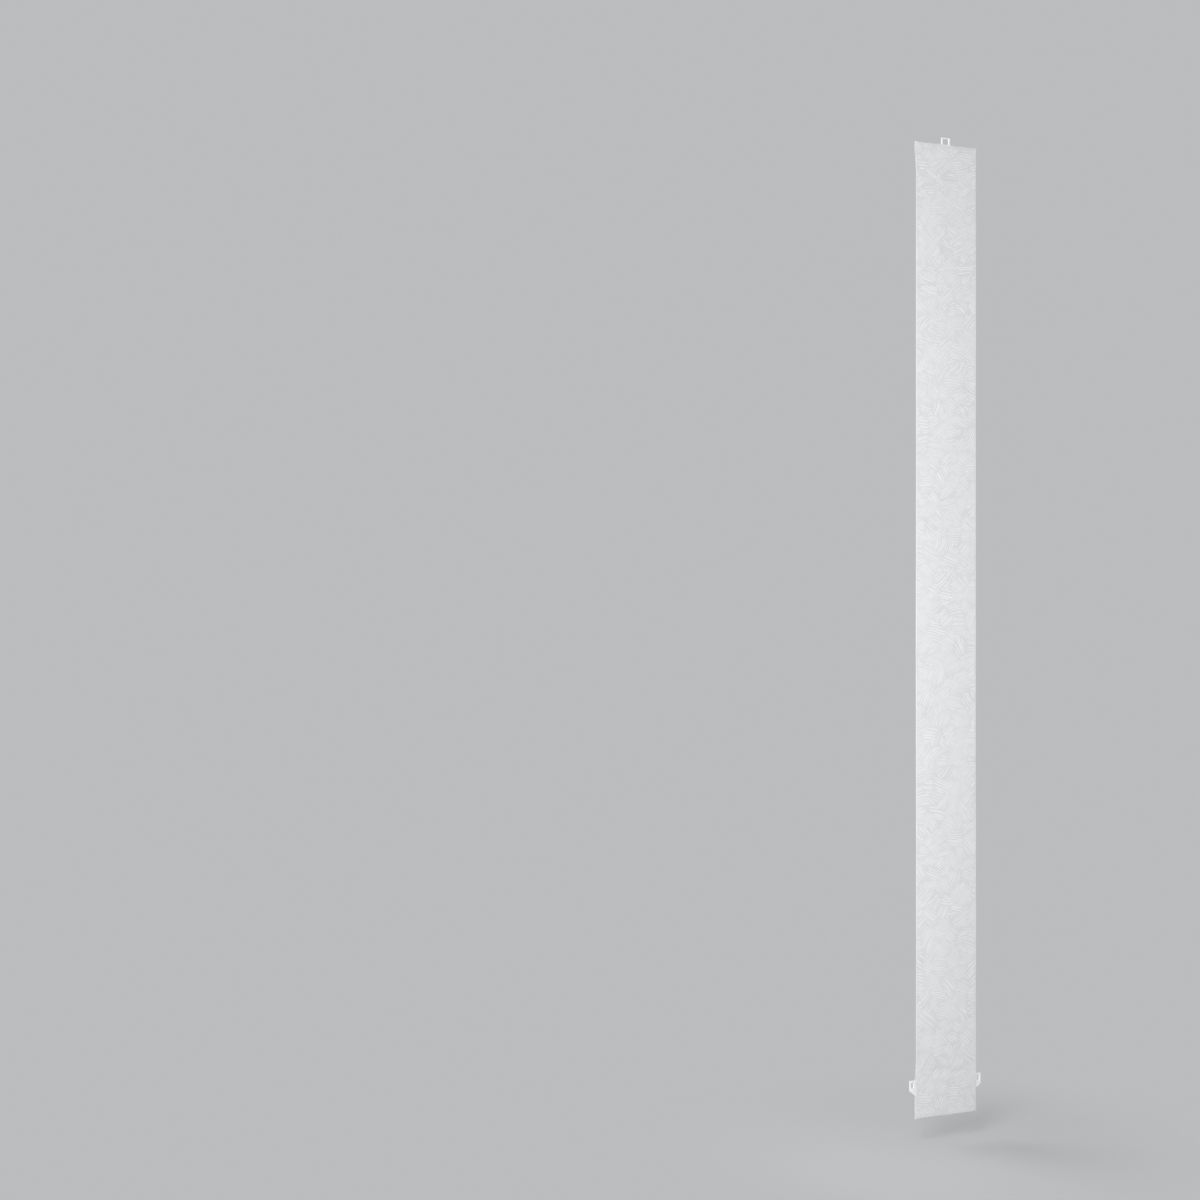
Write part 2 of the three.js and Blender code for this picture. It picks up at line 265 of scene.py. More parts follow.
def rounded_line(corners, reaches, steps=10):
    """Points of an open line through the corners. Each inner corner is replaced by a quadratic curve
    (1-t)^2 a + 2t(1-t) b + t^2 c, where b is the corner, and a and c lie its reach before and after
    it."""
    corners = np.array(corners)
    middle = corners[1:-1, None]
    reach = np.array(reaches)[:, None, None]
    before = corners[:-2, None] - middle
    after = corners[2:, None] - middle
    start = middle + before / np.linalg.norm(before, axis=-1, keepdims=True) * reach
    end = middle + after / np.linalg.norm(after, axis=-1, keepdims=True) * reach
    t = np.linspace(0, 1, steps)[None, :, None]
    curves = (1 - t) ** 2 * start + 2 * t * (1 - t) * middle + t**2 * end
    return np.concatenate([corners[:1], curves.reshape(-1, 2), corners[-1:]])


def pocket_line(cloth, bore, shoulder, depth):
    """Centre line of the cloth round one pocket, from the loose end of the hem to the front of the
    web. Each row is (y from the web's own plane, distance inward from the outside of the fold). The
    fold is half a circle, and the front of the pocket stays in the web's plane. The hem lies less
    than a thickness behind the web where a weld presses it, and more where its tail is loose."""
    thick = cloth.thickness
    radius = bore + thick / 2
    centre = bore + thick
    foot = depth + cloth.weld_width
    tail = foot + cloth.hem_tail
    tail_lift = 0.6 * MM
    pressed = 0.71 * thick
    loose = 1.35 * thick
    tail_reach, weld_reach, shoulder_reach = 0.25 * MM, 1.2 * MM, 4 * MM
    back = rounded_line(
        [
            (loose, tail), (loose, foot + tail_lift), (pressed, foot), (pressed, depth),
            (2 * radius, shoulder), (2 * radius, centre),
        ],
        [tail_reach, tail_reach, weld_reach, shoulder_reach],
    )
    angle = np.linspace(0, math.pi, FOLD_STEPS + 1)[1:-1]
    across = radius + radius * np.cos(angle)
    inward = centre - radius * np.sin(angle)
    fold = np.stack([across, inward], axis=-1)
    return np.concatenate([back, fold, [(0, centre), (0, tail)]])


class Strip:
    """The cloth as one strip, from the loose end of the top hem, over the top fold, down the front,
    under the bottom fold, to the loose end of the bottom hem. A place on it is (x across, s along)."""

    def __init__(self, cloth):
        self.cloth = cloth
        self.top_bore = (hanger_high.y - hanger_low.y) / 2 + cloth.seat_gap
        bottom_bore = (weight_high.y - weight_low.y) / 2 + cloth.seat_gap
        top = pocket_line(cloth, self.top_bore, TOP_FOLD - hanger_low.z, cloth.top_pocket)
        bottom = pocket_line(cloth, bottom_bore, weight_high.z - BOTTOM_FOLD, cloth.bottom_pocket)
        self.web = hanger_low.y - cloth.seat_gap - cloth.thickness / 2
        y = self.web + np.concatenate([top[:, 0], bottom[::-1, 0]])
        z = np.concatenate([TOP_FOLD - top[:, 1], BOTTOM_FOLD + bottom[::-1, 1]])
        kept = np.concatenate([[True], np.hypot(np.diff(y), np.diff(z)) > NEAR])
        self.y, self.z = y[kept], z[kept]
        steps = np.hypot(np.diff(self.y), np.diff(self.z))
        self.at = np.concatenate([[0], np.cumsum(steps)])
        self.length = self.at[-1]
        self.top_crest = self.at[np.argmax(self.z)]
        self.bottom_crest = self.at[np.argmin(self.z)]
        self.weld_starts = cloth.hem_tail, self.length - cloth.hem_tail - cloth.weld_width
        self.weld_heights = (
            TOP_FOLD - cloth.top_pocket - cloth.weld_width / 2,
            BOTTOM_FOLD + cloth.bottom_pocket + cloth.weld_width / 2,
        )

    def weld_share(self, s):
        """1 in the two welded bands of the hems, and 0 elsewhere, with short slopes between."""
        slope = 0.45 * MM
        share = np.zeros_like(s)
        for start in self.weld_starts:
            end = start + self.cloth.weld_width
            share = share + smooth_step(s, start - slope, start + slope)
            share = share - smooth_step(s, end - slope, end + slope)
        return share

    def web_share(self, z):
        """1 in the flat web between the pockets and 0 in the pockets, with a smooth slope between."""
        slope = 90 * MM
        top, bottom = self.cloth.top_pocket, self.cloth.bottom_pocket
        below_top = smooth_step(TOP_FOLD - z, top, top + slope)
        above_bottom = smooth_step(z - BOTTOM_FOLD, bottom, bottom + slope)
        return below_top * above_bottom

    def half_thickness(self, x, s):
        """Half the cloth's thickness: less in the welds, a little more in the bead that the hot knife
        leaves along the two sides, and rounded off at the very edge."""
        hem_thinning, web_thinning = 0.22, 0.2
        bead_rise, bead_width = 0.16, 0.6 * MM
        edge_radius, edge_least = 0.22 * MM, 0.3
        y, z = self.place(s)
        width = self.cloth.weld_width
        top_weld, bottom_weld = (
            smooth_step(-np.abs(z - height), -width, -width / 2) for height in self.weld_heights
        )
        in_front = y < self.web + 0.1 * MM
        thinning = 1 - hem_thinning * self.weld_share(s)
        thinning = thinning - web_thinning * (top_weld + bottom_weld) * in_front
        inward = HALF_WIDTH - np.abs(x)
        bead = 1 + bead_rise * np.exp(-((inward / bead_width) ** 2))
        rounding = np.sqrt(np.clip(1 - (1 - inward / edge_radius) ** 2, edge_least, 1))
        edge = np.where(inward < edge_radius, rounding, 1)
        return self.cloth.thickness / 2 * thinning * bead * edge

    def place(self, s):
        """(y, z) of the centre line at s."""
        return np.interp(s, self.at, self.y), np.interp(s, self.at, self.z)

    def normal(self, s):
        """(y, z) of the outward direction at s: the line's direction turned a quarter."""
        reach = 0.15 * MM
        y0, z0 = self.place(s - reach)
        y1, z1 = self.place(s + reach)
        size = np.hypot(y1 - y0, z1 - z0)
        return (z1 - z0) / size, -(y1 - y0) / size

    def from_crest(self, s):
        """Distance along the strip to the crest of the nearer fold."""
        return np.minimum(np.abs(s - self.top_crest), np.abs(s - self.bottom_crest))

    def from_end(self, s):
        """Distance along the strip to its nearer end."""
        return np.minimum(s, self.length - s)

    def points(self, x, s, side, rise=0.0):
        """Points in space on one face of the cloth: the centre line at s, plus the outward direction
        times side times half the thickness and the rise, plus the web's bow in y. The bow is the sum
        of a long and a short wave down the strip and a slight cup across it."""
        long_height, long_length, long_phase = 0.55, 0.73, 0.6
        short_height, short_length, short_skew = 0.35, 0.41, 1.1
        cup_height, cup_middle = 0.5, -0.2
        y, z = self.place(s)
        out_y, out_z = self.normal(s)
        lift = side * (self.half_thickness(x, s) + rise)
        across = x / HALF_WIDTH
        long_wave = long_height * np.sin(TURN * z / long_length + long_phase)
        short_wave = short_height * np.sin(TURN * z / short_length + short_skew * across)
        cup = cup_height * across**2 + cup_middle
        bow = self.cloth.bow * self.web_share(z) * (long_wave + short_wave + cup)
        return np.stack([x, y + out_y * lift + bow, z + out_z * lift], axis=-1)

    def strength(self, x, s):
        """How strongly the strokes stand out from the plain weave, from a little to 1, as a sum of
        slow waves whose phases drift, so that they don't repeat. A wave has its height, the direction
        in x and s that it runs in, its length and its share of the drift."""
        waves = (
            (1.0, 1.0, 0.55, 52 * MM, 1.0),
            (1.0, 0.8, -0.6, 63 * MM, -1.6),
            (0.8, 0.3, 1.0, 38 * MM, 0.7),
        )
        mean, reach, least = 0.6, 0.3, 0.1
        drift = 2.1 * np.sin(s / (37 * MM)) + 1.3 * np.sin(s / (91 * MM) + 1.7)
        total = 0
        for height, along_x, along_s, length, share in waves:
            total = total + height * np.sin(TURN * (along_x * x + along_s * s) / length + share * drift)
        return np.clip(mean + reach * total, least, 1)

    def rows(self):
        """Places along the strip, close together at the folds and the welds and far apart in the web.
        Their number in a stretch is the integral of one over the wanted spacing."""
        samples = 24001
        in_web, in_pocket, in_fold, in_hem = 11 * MM, 1.9 * MM, 0.7 * MM, 0.65 * MM
        s = np.linspace(0, self.length, samples)
        _, z = self.place(s)
        above = z - TOP_FOLD + self.cloth.top_pocket
        below = BOTTOM_FOLD + self.cloth.bottom_pocket - z
        pocket = smooth_step(np.maximum(above, below), -12 * MM, -6 * MM)
        fold = 1 - smooth_step(self.from_crest(s), 5 * MM, 7 * MM)
        hem = 1 - smooth_step(self.from_end(s), 7 * MM, 9 * MM)
        per_metre = 1 / in_web + pocket / in_pocket + fold / in_fold + hem / in_hem
        count = np.concatenate([[0], np.cumsum((per_metre[1:] + per_metre[:-1]) / 2 * np.diff(s))])
        total = math.ceil(count[-1])
        return np.interp(np.linspace(0, count[-1], total), count, s)


def with_exact(values, exact):
    """The sorted values with the exact ones put in, and those too near to one of them left out."""
    clearance = 0.2 * MM
    far = np.abs(values[:, None] - exact[None, :]).min(1) > clearance
    return np.sort(np.concatenate([values[far], exact]))


def rim_quads(kept, outer, inner):
    """Faces that join the outer and the inner layer along every border of the kept cells of a grid. A
    border lies where a kept cell meets one that isn't kept, found as a difference between
    neighbours."""
    padded = np.pad(kept, 1).astype(int)
    along = padded[1:-1, 1:] - padded[1:-1, :-1]
    across = padded[1:, 1:-1] - padded[:-1, 1:-1]
    faces = []
    for sign in (1, -1):
        i, j = np.nonzero(along == sign)
        sides = [outer[i, j], inner[i, j], inner[i + 1, j], outer[i + 1, j]]
        faces.append(np.stack(sides[::sign], axis=-1))
        i, j = np.nonzero(across == sign)
        ends = [outer[i, j], outer[i, j + 1], inner[i, j + 1], inner[i, j]]
        faces.append(np.stack(ends[::sign], axis=-1))
    return np.concatenate(faces)


def round_corners(x, s, half_x, half_s, radius):
    """The places with those at the corners of a rectangle's border drawn on to quarter circles. The
    middle of the rectangle is at 0, and half_x and half_s are half its sizes."""
    from_x = np.abs(x) - (half_x - radius)
    from_s = np.abs(s) - (half_s - radius)
    on_border = (np.abs(from_x - radius) < NEAR) | (np.abs(from_s - radius) < NEAR)
    beside = (np.minimum(from_x, from_s) > NEAR) & (np.maximum(from_x, from_s) < radius + NEAR)
    pull = radius / np.maximum(np.hypot(from_x, from_s), NEAR)
    round_x = np.sign(x) * (half_x - radius + from_x * pull)
    round_s = np.sign(s) * (half_s - radius + from_s * pull)
    at_corner = on_border & beside
    return np.where(at_corner, round_x, x), np.where(at_corner, round_s, s)


def make_cloth(strip, material):
    """The strip as a closed sheet: an outer and an inner layer over one grid of x across and s along,
    with the notch left out of both, joined along every border. The notch reaches down each side of
    the fold: a quarter of the fold's circle, and the straight rest of its depth."""
    cloth = strip.cloth
    corner = 0.8 * MM
    quarter = math.pi / 2 * (strip.top_bore + cloth.thickness / 2)
    notch_x = NECK_HALF + cloth.notch_clearance
    notch_s = quarter + cloth.notch_depth - strip.top_bore - cloth.thickness
    notch_steps = np.array([corner, corner / 2, 0])
    edge_steps = np.array([0.07, 0.22, 0.5]) * MM
    sides = np.concatenate([HALF_WIDTH - edge_steps, notch_x - notch_steps])
    ends = np.concatenate([notch_s - notch_steps, notch_steps - notch_s])
    even = np.linspace(-HALF_WIDTH, HALF_WIDTH, CLOTH_COLUMNS + 1)
    columns = with_exact(even, np.concatenate([sides, -sides]))
    rows = with_exact(strip.rows(), strip.top_crest + ends)
    s, x = np.meshgrid(rows, columns, indexing="ij")
    in_notch_x = np.abs((columns[1:] + columns[:-1]) / 2) < notch_x
    in_notch_s = np.abs((rows[1:] + rows[:-1]) / 2 - strip.top_crest) < notch_s
    kept = ~(in_notch_s[:, None] & in_notch_x[None, :])
    x, from_crest = round_corners(x, s - strip.top_crest, notch_x, notch_s, corner)
    s = strip.top_crest + from_crest

    dashes = np.clip(0.55 + 1.3 * np.cos(TURN * x / WELD_DASH), 0, 1)
    outer_points = strip.points(x, s, 1, -WELD_DASH_DEPTH * dashes * strip.weld_share(s))
    inner_points = strip.points(x, s, -1)
    outer = np.arange(x.size).reshape(x.shape)
    inner = outer + x.size
    i, j = np.nonzero(kept)
    outer_quads = [outer[i, j], outer[i + 1, j], outer[i + 1, j + 1], outer[i, j + 1]]
    inner_quads = [inner[i, j], inner[i, j + 1], inner[i + 1, j + 1], inner[i + 1, j]]
    layers = [np.stack(quads, axis=-1) for quads in (outer_quads, inner_quads)]
    quads = np.concatenate([*layers, rim_quads(kept, outer, inner)])
    points = np.concatenate([outer_points.reshape(-1, 3), inner_points.reshape(-1, 3)])
    used, quads = np.unique(quads, return_inverse=True)
    piece = new_mesh("louvre_cloth", points[used], quads.reshape(-1, 4), material)
    x, s = (np.tile(values.ravel(), 2)[used] for values in (x, s))
    add_strip_map(piece, x, s, strip.length)
    add_tone(piece, FAINT_TONE * (1 - strip.strength(x, s)))
    return piece


def longest_run(fits):
    """The first and the last place of the longest unbroken run of True along the last axis."""
    run = np.zeros(fits.shape[:-1], int)
    best = np.zeros_like(run)
    last = np.zeros_like(run)
    for k in range(fits.shape[-1]):
        run = np.where(fits[..., k], run + 1, 0)
        longer = run > best
        best = np.where(longer, run, best)
        last = np.where(longer, k, last)
    return last - best + 1, last


def sideways(p, q, bend, sway, swing, phase):
    """How far a line lies from its patch's axis at p along it: q + k p^2 / 2 + w sin(2 pi p / l + f),
    with its place q, its curvature k, and a wave of height w, length l and phase f."""
    return q + bend * p**2 / 2 + sway * np.sin(TURN * p / swing + phase)


def deep(values):
    """The values of the patches with two more axes, for a patch's lines and the places along them."""
    return values[..., None, None]


def scatter_patches(strip, rng):
    """The patches that the strip is shared out among, on a triangular grid whose centres are shaken.
    A patch has its centre, the direction and curvature of its strokes, the shift of its lines in
    spacings, whether it is held or left to its neighbours, and the spacing and wave length of its
    strokes."""
    shake = 0.38
    rising, falling, level = 45, -34, 5
    shares = [0.44, 0.38, 0.18]
    spread = 13
    sharpest_bend = 34
    pitch = strip.cloth.patch
    row_pitch = pitch * math.sqrt(3) / 2
    columns = int(2 * HALF_WIDTH / pitch) + 5
    rows = int(strip.length / row_pitch) + 5
    j, i = np.meshgrid(np.arange(rows), np.arange(columns), indexing="ij")
    even_x = (i - (columns - 1) / 2 + 0.5 * (j % 2)) * pitch
    even_s = (j - 2) * row_pitch
    centre_x = even_x + rng.uniform(-shake, shake, i.shape) * pitch
    centre_s = even_s + rng.uniform(-shake, shake, i.shape) * pitch
    slope = np.array([rising, falling, level])[rng.choice(3, i.shape, p=shares)]
    return {
        "x": centre_x,
        "s": centre_s,
        "angle": np.radians(slope + rng.normal(0, spread, i.shape)),
        "bend": rng.uniform(-sharpest_bend, sharpest_bend, i.shape),
        "start": rng.uniform(-0.5, 0.5, i.shape),
        "held": rng.uniform(0, 1, i.shape) > strip.cloth.merged,
        "spacing": rng.uniform(0.86, 1.26, i.shape),
        "swing": rng.uniform(13, 24, i.shape) * MM,
    }


def meshed(x, s, height):
    """The places, shifted by short waves of the height, so that neighbouring patches mesh."""
    x_wave, s_wave = 6.1 * MM, 7.3 * MM
    shift_x = height * np.sin(TURN * (0.93 * s + 0.36 * x) / x_wave)
    shift_s = height * np.sin(TURN * (0.97 * x - 0.24 * s) / s_wave + 1.3)
    return x + shift_x, s + shift_s


def nearest_other(x, s, patches):
    """Distance from each place to the nearest centre of a held patch other than its own. The first two
    axes of x and s are those of the patches, and the search goes two patches each way."""
    rows, columns = patches["x"].shape
    j, i = np.meshgrid(np.arange(rows), np.arange(columns), indexing="ij")
    nearest = np.full(x.shape, np.inf)
    for dj in range(-2, 3):
        for di in range(-2, 3):
            jj = np.clip(j + dj, 0, rows - 1)
            ii = np.clip(i + di, 0, columns - 1)
            absent = ((jj == j) & (ii == i)) | ~patches["held"][jj, ii]
            other = np.hypot(x - deep(patches["x"][jj, ii]), s - deep(patches["s"][jj, ii]))
            nearest = np.minimum(nearest, np.where(deep(absent), np.inf, other))
    return nearest


def stroke_lines(strip, keep_clear):
    """The woven strokes as curved lines on the flat strip. Each patch is the region nearest to its own
    centre, and is filled with wavering arcs that run one way. A line's point at p along it is centre +
    p d + f(p) n, where d and n are the patch's direction and the one square to it, and f is
    sideways(). Before the nearest centre is found, the point is shifted by short waves, so that
    patches mesh. Returns the centre, the direction, what sideways() takes, the two ends of p, the
    share of the full width and the tone of each line that fits. The tone nears the weave's mean where
    the strokes don't stand out."""
    cloth = strip.cloth
    rng = np.random.default_rng(SEED)
    patches = scatter_patches(strip, rng)
    centre_x, centre_s, angle, bend, swing = (
        deep(patches[key]) for key in ("x", "s", "angle", "bend", "swing")
    )
    lines_each_way, places = 9, 97
    reach = 1.6 * cloth.patch
    p = np.linspace(-reach, reach, places)
    order = np.arange(-lines_each_way, lines_each_way + 1) + patches["start"][..., None]
    q = order * patches["spacing"][..., None] * cloth.stroke_pitch
    q = q + rng.normal(0, 0.13, q.shape) * cloth.stroke_pitch
    phase = rng.uniform(0, TURN, patches["x"].shape)[..., None] + rng.normal(0, 0.5, q.shape)
    sway = rng.uniform(0.5, 1.4, q.shape) * cloth.sway
    off = sideways(p, q[..., None], bend, sway[..., None], swing, phase[..., None])
    x = centre_x + p * np.cos(angle) + off * np.sin(angle)
    s = centre_s - p * np.sin(angle) + off * np.cos(angle)

    near_x, near_s = meshed(x, s, cloth.border_wave)
    own = np.hypot(near_x - centre_x, near_s - centre_s)
    inside = (own < nearest_other(near_x, near_s, patches)) & deep(patches["held"])
    fits = inside & keep_clear(x, s)
    first, last = longest_run(fits)
    trim = rng.uniform(-0.2, 0.5, (2,) + first.shape) * MM
    low = p[first] + trim[0]
    high = p[last] - trim[1]
    shown = rng.uniform(0, 1, first.shape) > cloth.dropped
    pick = np.nonzero(fits.any(-1) & shown & (high - low > SHORTEST_STROKE))
    patch = pick[:2]
    middle_x, middle_s = patches["x"][patch], patches["s"][patch]
    strength = strip.strength(middle_x, middle_s)
    return {
        "centre": np.stack([middle_x, middle_s], axis=-1),
        "angle": patches["angle"][patch],
        "low": low[pick],
        "high": high[pick],
        "side": [q[pick], patches["bend"][patch], sway[pick], patches["swing"][patch], phase[pick]],
        "wide": rng.uniform(0.66, 1.04, len(middle_x)) * patches["spacing"][patch],
        "tone": np.clip(0.4 + strength * (0.36 + rng.normal(0, 0.16, len(middle_x))), 0, 1),
    }


def make_strokes(name, strip, lines, side, material):
    """Each stroke is a low closed ridge that follows its line over the cloth. Its section has two sunk
    edges and a flat top, and it narrows and sinks towards both ends."""
    cloth = strip.cloth
    sunk = 0.05 * MM
    along = np.array([0, 0.08, 0.2, 0.35, 0.5, 0.65, 0.8, 0.92, 1])
    taper = np.array([0.3, 0.8, 0.96, 1, 1, 1, 0.96, 0.8, 0.3]) * cloth.stroke_width / 2
    rise = np.array([-0.1, 0.8, 0.95, 1, 1, 1, 0.95, 0.8, -0.1]) * cloth.stroke_rise
    section_across = np.array([-1, -0.55, 0.55, 1])
    section_up = np.array([0, 1, 1, 0])
    p = lines["low"][:, None] + (lines["high"] - lines["low"])[:, None] * along
    off = sideways(p, *(values[:, None] for values in lines["side"]))
    width = lines["wide"][:, None] * taper
    q = off[..., None] + width[..., None] * section_across
    p = p[..., None]
    turn = lines["angle"][:, None, None]
    centre = lines["centre"][:, None, None]
    x = centre[..., 0] + p * np.cos(turn) + q * np.sin(turn)
    s = centre[..., 1] - p * np.sin(turn) + q * np.cos(turn)
    height = rise[None, :, None] * section_up - sunk * (1 - section_up)
    points = strip.points(x, s, side, np.broadcast_to(height, x.shape)).reshape(-1, 3)
    number = np.arange(x.size).reshape(x.shape)
    a = number[:, :-1]
    b = number[:, 1:]
    walls = np.stack([a, np.roll(a, -1, -1), np.roll(b, -1, -1), b], axis=-1).reshape(-1, 4)
    starts = number[:, 0, ::-1]
    ends = number[:, -1, :]
    quads = np.concatenate([walls, starts, ends])
    if side > 0:
        quads = quads[:, ::-1]
    piece = new_mesh(name, points, quads, material)
    add_strip_map(piece, x.ravel(), s.ravel(), strip.length)
    add_tone(piece, np.repeat(lines["tone"], x[0].size))
    return piece


class Nodes:
    """Short ways to add and join the nodes of one material."""

    def __init__(self, name):
        self.material = bpy.data.materials.new(name)
        self.material.use_nodes = True
        self.tree = self.material.node_tree
        self.shader = self.tree.nodes["Principled BSDF"]

    def add(self, kind, **settings):
        node = self.tree.nodes.new(kind)
        for key, value in settings.items():
            setattr(node, key, value)
        return node

    def join(self, source, target):
        self.tree.links.new(source, target)

    def maths(self, operation, first, second=None):
        """A Math node. first and second are sockets or numbers."""
        node = self.add("ShaderNodeMath", operation=operation)
        for socket, value in zip(node.inputs, (first, second)):
            if isinstance(value, bpy.types.NodeSocket):
                self.join(value, socket)
            elif value is not None:
                socket.default_value = value
        return node.outputs[0]

    def ranged(self, value, low, high, to_low, to_high):
        """A smooth Map Range of a socket."""
        node = self.add("ShaderNodeMapRange", interpolation_type="SMOOTHSTEP")
        self.join(value, node.inputs["Value"])
        limits = {"From Min": low, "From Max": high, "To Min": to_low, "To Max": to_high}
        for key, number in limits.items():
            node.inputs[key].default_value = number
        return node.outputs[0]

    def noise(self, vector, scale, detail=2.0, roughness=0.5):
        node = self.add("ShaderNodeTexNoise")
        self.join(vector, node.inputs["Vector"])
        node.inputs["Scale"].default_value = scale
        node.inputs["Detail"].default_value = detail
        node.inputs["Roughness"].default_value = roughness
        return node.outputs["Fac"]

    def clouds(self, vector, scale, detail=2.0):
        """Noise whose usual span, 0.3 to 0.7, is drawn out to 0 to 1."""
        return self.ranged(self.noise(vector, scale, detail), 0.3, 0.7, 0, 1)

    def drawn_out(self, vector, across, along):
        """A vector scaled by one number across the strip and another along it."""
        node = self.add("ShaderNodeMapping")
        node.inputs["Scale"].default_value = (across, along, 1)
        self.join(vector, node.inputs["Vector"])
        return node.outputs[0]

    def mixed(self, share, first, second):
        """A colour mix. first and second are colours or sockets."""
        node = self.add("ShaderNodeMix", data_type="RGBA")
        self.join(share, node.inputs["Factor"])
        for key, value in (("A", first), ("B", second)):
            socket = next(i for i in node.inputs if i.name == key and i.type == "RGBA")
            if isinstance(value, bpy.types.NodeSocket):
                self.join(value, socket)
            else:
                socket.default_value = (*value, 1)
        return next(o for o in node.outputs if o.type == "RGBA")

    def tinted(self, base, share, amount, colour):
        """The base colour, mixed with another by the share times the amount."""
        return self.mixed(self.maths("MULTIPLY", share, amount), base, colour)

    def dappled(self, colour, vector, scale, amount):
        """A colour socket made lighter and darker in places, by up to the amount, by noise."""
        share = self.ranged(self.noise(vector, scale, 3), 0.28, 0.72, 1 - amount, 1 + amount)
        node = self.add("ShaderNodeVectorMath", operation="SCALE")
        self.join(colour, node.inputs[0])
        self.join(share, node.inputs["Scale"])
        return node.outputs[0]

    def bump(self, height, strength, distance):
        node = self.add("ShaderNodeBump")
        self.join(height, node.inputs["Height"])
        node.inputs["Strength"].default_value = strength
        node.inputs["Distance"].default_value = distance
        self.join(node.outputs["Normal"], self.shader.inputs["Normal"])


def shaded(colour, factor):
    return tuple(min(channel * factor, 1) for channel in colour)


def weave_material(cloth, length):
    """Plain weave: rows of thread crowns, where the product of two sines of the strip's u and v says
    which thread lies on top, with slow and fast variation of colour, a smoother bead at the cut sides
    and a painted highlight that lightens the colour along them. A scale of length / d gives noise of
    about the size d on the cloth."""
    made = Nodes("plain_weave")
    where = made.add("ShaderNodeUVMap", uv_map="strip").outputs[0]
    parts = made.add("ShaderNodeSeparateXYZ")
    made.join(where, parts.inputs[0])
    u, v = parts.outputs["X"], parts.outputs["Y"]
    per_thread = math.pi * length / cloth.thread
    over, under = (made.maths("SINE", made.maths("MULTIPLY", at, per_thread)) for at in (u, v))
    crowns = made.ranged(made.maths("MULTIPLY", over, under), -1, 1, 0, 1)
    slow = made.clouds(where, 26, 3)
    streaks = made.clouds(made.drawn_out(where, 90, 1500), 1)
    mottle = made.clouds(where, length / (1.5 * MM))
    base = made.mixed(slow, shaded(cloth.ground, 0.975), shaded(cloth.ground, 1.025))
    base = made.tinted(base, mottle, 0.6, shaded(cloth.ground, 1.09))
    base = made.tinted(base, streaks, 0.35, shaded(cloth.ground, 1.07))
    base = made.tinted(base, crowns, 0.35, shaded(cloth.ground, 1.11))
    tone = made.add("ShaderNodeAttribute", attribute_name="tone").outputs["Fac"]
    base = made.mixed(tone, base, cloth.stroke)
    base = made.dappled(base, where, length / DAPPLE_SIZE, DAPPLE_AMOUNT)
    # The bead's mask below drives both the real smoother bead and a painted highlight along the cut
    # sides.
    from_middle = made.maths("ABSOLUTE", made.maths("SUBTRACT", u, HALF_WIDTH / length))
    bead_start, bead_full = HALF_WIDTH - 1.5 * MM, HALF_WIDTH - 0.5 * MM
    bead = made.ranged(from_middle, bead_start / length, bead_full / length, 0, 1)
    # Painted highlight: the colour is lightened along both cut sides. The lower roughness set further
    # down is the real smooth bead.
    base = made.tinted(base, bead, 0.2, shaded(cloth.stroke, 1.02))
    made.join(base, made.shader.inputs["Base Color"])
    matt = made.ranged(streaks, 0, 1, 0.9, 0.8)
    rough = made.maths("SUBTRACT", matt, made.maths("MULTIPLY", bead, 0.2))
    made.join(rough, made.shader.inputs["Roughness"])
    made.shader.inputs["Sheen Weight"].default_value = 0.12
    made.shader.inputs["Sheen Roughness"].default_value = 0.5
    made.shader.inputs["Specular IOR Level"].default_value = 0.3
    off_bead = made.maths("SUBTRACT", 1.0, bead)
    threads = made.maths("ADD", crowns, made.maths("MULTIPLY", streaks, 0.6))
    made.bump(made.maths("MULTIPLY", threads, off_bead), 0.8, 0.08 * MM)
    return made.material


def satin_material(cloth, length):
    """Satin strokes: long threads that float across the plain weave, as noise drawn out across the
    strip, each stroke a little lighter or darker than the next by its own tone."""
    made = Nodes("satin_stroke")
    where = made.add("ShaderNodeUVMap", uv_map="strip").outputs[0]
    tone = made.add("ShaderNodeAttribute", attribute_name="tone").outputs["Fac"]
    thread_length, thread_width = 2.2 * MM, 0.3 * MM
    threads = made.clouds(made.drawn_out(where, length / thread_length, length / thread_width), 1)
    mottle = made.clouds(where, length / (1.7 * MM))
    base = made.mixed(tone, shaded(cloth.ground, 1.02), shaded(cloth.stroke, 1.02))
    base = made.tinted(base, mottle, 0.45, shaded(cloth.stroke, 0.95))
    base = made.tinted(base, threads, 0.4, shaded(cloth.stroke, 1.07))
    base = made.dappled(base, where, length / DAPPLE_SIZE, DAPPLE_AMOUNT)
    made.join(base, made.shader.inputs["Base Color"])
    made.join(made.ranged(threads, 0, 1, 0.58, 0.42), made.shader.inputs["Roughness"])
    made.shader.inputs["Sheen Weight"].default_value = 0.1
    made.shader.inputs["Sheen Roughness"].default_value = 0.4
    made.shader.inputs["Specular IOR Level"].default_value = 0.45
    made.bump(threads, 0.8, 0.07 * MM)
    return made.material


def moulding_material(name, moulding):
    """White moulded plastic: an even colour with the faint clouds and fine grain of a spark-eroded
    mould, both as noise on the object's own coordinates."""
    cloud_scale, grain_scale = 70, 2600
    made = Nodes(name)
    where = made.add("ShaderNodeTexCoord").outputs["Object"]
    clouds = made.clouds(where, cloud_scale, 3)
    grain = made.noise(where, grain_scale, 2, 0.6)
    base = made.mixed(clouds, shaded(moulding.colour, 0.985), moulding.colour)
    made.join(base, made.shader.inputs["Base Color"])
    smooth, rough = moulding.roughness - 0.05, moulding.roughness + 0.06
    made.join(made.ranged(clouds, 0, 1, smooth, rough), made.shader.inputs["Roughness"])
    made.shader.inputs["IOR"].default_value = 1.49
    made.bump(grain, 0.3, 0.02 * MM)
    return made.material


